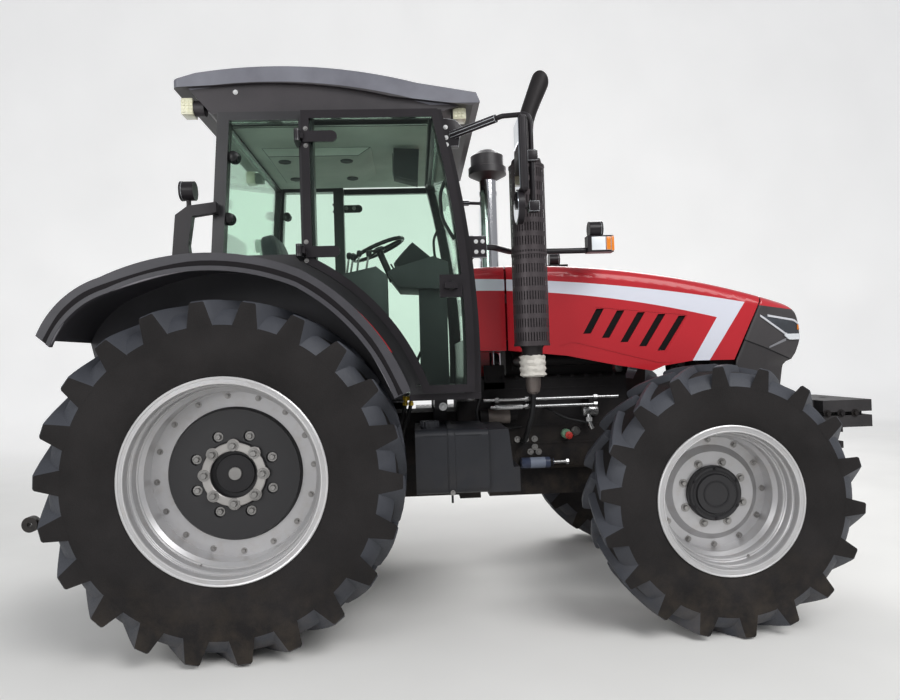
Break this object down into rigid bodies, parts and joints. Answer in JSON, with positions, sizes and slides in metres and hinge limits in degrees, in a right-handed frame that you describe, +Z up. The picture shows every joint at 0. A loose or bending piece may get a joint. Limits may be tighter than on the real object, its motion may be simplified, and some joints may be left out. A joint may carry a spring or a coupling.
{
  "type": "farm tractor",
  "caption": "Farm tractor with glazed cab, tilting hood, steered and driven front axle, side exhaust and rear three-point hitch.",
  "frame": {"origin": "on the ground under the middle of the whole tractor", "axes": "+X points forward along the tractor, +Y to its left side, +Z up"},
  "size_m": [5.1119, 2.236, 3.0441],
  "materials": {
    "tyre_rubber": "matte",
    "rim_silver": "satin",
    "chassis_black": "satin",
    "hitch_steel": "satin",
    "weight_iron": "matte",
    "cab_black": "satin",
    "roof_plastic": "satin",
    "cab_glass": "clear",
    "fender_plastic": "satin",
    "seat_fabric": "woven",
    "trim_plastic": "matte",
    "hood_red": "gloss",
    "nose_plastic": "satin",
    "lamp_glass": "clear",
    "exhaust_steel": "matte",
    "intake_chrome": "polished"
  },
  "bodies": {
    "chassis": {"front_axle_beam": "chassis_black", "engine_block": "chassis_black", "transmission_housing": "chassis_black", "front_frame": "chassis_black", "radiator": "chassis_black", "cab_floor": "chassis_black", "step_box": "chassis_black", "rear_axle_housing_left": "chassis_black", "rear_axle_housing_right": "chassis_black", "drawbar": "hitch_steel", "weight_carrier": "weight_iron", "cab_front_frame": "cab_black", "cab_rear_frame": "cab_black", "cab_side_left": "cab_black", "cab_side_right": "cab_black", "mirror_left": "cab_black", "mirror_right": "cab_black", "lamp_arm_left": "cab_black", "lamp_arm_right": "cab_black", "rear_lamp_left": "cab_black", "rear_lamp_right": "cab_black", "roof": "roof_plastic", "windshield": "cab_glass", "rear_window": "cab_glass", "quarter_window_left": "cab_glass", "quarter_window_right": "cab_glass", "fender_left": "fender_plastic", "fender_right": "fender_plastic", "seat": "seat_fabric", "controls": "trim_plastic", "fuel_tank": "trim_plastic", "cowl": "hood_red", "exhaust": "exhaust_steel", "air_intake": "intake_chrome"},
    "rear_wheel_left": {"rear_tyre_left": "tyre_rubber", "rear_rim_left": "rim_silver"},
    "rear_wheel_right": {"rear_tyre_right": "tyre_rubber", "rear_rim_right": "rim_silver"},
    "front_wheel_left": {"front_tyre_left": "tyre_rubber", "front_rim_left": "rim_silver"},
    "front_wheel_right": {"front_tyre_right": "tyre_rubber", "front_rim_right": "rim_silver"},
    "knuckle_left": {"knuckle_left": "chassis_black"},
    "knuckle_right": {"knuckle_right": "chassis_black"},
    "tie_rod": {"tie_rod": "chassis_black"},
    "hood": {"hood": "hood_red", "nose": "nose_plastic", "headlamps": "lamp_glass"},
    "door_left": {"door_left": "cab_black", "door_glass_left": "cab_glass"},
    "door_right": {"door_right": "cab_black", "door_glass_right": "cab_glass"},
    "lower_links": {"lower_links": "hitch_steel"},
    "lift_arms": {"lift_arms": "hitch_steel"},
    "lift_rods": {"lift_rods": "hitch_steel"},
    "top_link": {"top_link": "hitch_steel"}
  },
  "joints": [
    {"name": "rear_wheel_left_spin", "type": "hinge", "parent": "chassis", "child": "rear_wheel_left", "pos_m": [-1.244, 0.88, 0.8875], "axis": [0, 1, 0], "continuous": true},
    {"name": "rear_wheel_right_spin", "type": "hinge", "parent": "chassis", "child": "rear_wheel_right", "pos_m": [-1.244, -0.88, 0.8875], "axis": [0, 1, 0], "continuous": true},
    {"name": "steer_left", "type": "hinge", "parent": "chassis", "child": "knuckle_left", "pos_m": [1.272, 0.66, 0.6875], "axis": [0, 0, 1], "range_deg": [-42, 42]},
    {"name": "front_wheel_left_spin", "type": "hinge", "parent": "knuckle_left", "child": "front_wheel_left", "pos_m": [1.272, 0.915, 0.6875], "axis": [0, 1, 0], "continuous": true},
    {"name": "steer_right", "type": "hinge", "parent": "chassis", "child": "knuckle_right", "pos_m": [1.272, -0.66, 0.6875], "axis": [0, 0, 1], "range_deg": [-42, 42]},
    {"name": "front_wheel_right_spin", "type": "hinge", "parent": "knuckle_right", "child": "front_wheel_right", "pos_m": [1.272, -0.915, 0.6875], "axis": [0, 1, 0], "continuous": true},
    {"name": "tie_rod_pivot", "type": "hinge", "parent": "knuckle_left", "child": "tie_rod", "pos_m": [1.082, 0.66, 0.6175], "axis": [0, 0, 1], "range_deg": [-42, 42]},
    {"name": "hood_tilt", "type": "hinge", "parent": "chassis", "child": "hood", "pos_m": [0.261, 0, 1.98766], "axis": [0, -1, 0], "range_deg": [0, 50]},
    {"name": "door_left_swing", "type": "hinge", "parent": "chassis", "child": "door_left", "pos_m": [-0.876, 0.905, 2.029], "axis": [0, -0.0523, 0.9986], "range_deg": [0, 60]},
    {"name": "door_right_swing", "type": "hinge", "parent": "chassis", "child": "door_right", "pos_m": [-0.876, -0.905, 2.029], "axis": [0, -0.0523, -0.9986], "range_deg": [0, 60]},
    {"name": "hitch_lift", "type": "hinge", "parent": "chassis", "child": "lower_links", "pos_m": [-1.464, 0, 0.57], "axis": [0, 1, 0], "range_deg": [-20, 22]},
    {"name": "lift_arm_pivot", "type": "hinge", "parent": "chassis", "child": "lift_arms", "pos_m": [-1.364, 0, 1.12], "axis": [0, 1, 0], "range_deg": [-20, 22]},
    {"name": "lift_rod_pivot", "type": "hinge", "parent": "lower_links", "child": "lift_rods", "pos_m": [-1.89398, 0, 0.5741], "axis": [0, 1, 0], "range_deg": [-22, 20]},
    {"name": "top_link_swing", "type": "hinge", "parent": "chassis", "child": "top_link", "pos_m": [-1.619, 0, 0.985], "axis": [0, -1, 0], "range_deg": [0, 75]}
  ],
  "couplings": [
    {"joint": "steer_right", "follows": "steer_left", "ratio": 1},
    {"joint": "tie_rod_pivot", "follows": "steer_left", "ratio": -1},
    {"joint": "lift_arm_pivot", "follows": "hitch_lift", "ratio": 1},
    {"joint": "lift_rod_pivot", "follows": "hitch_lift", "ratio": -1}
  ]
}
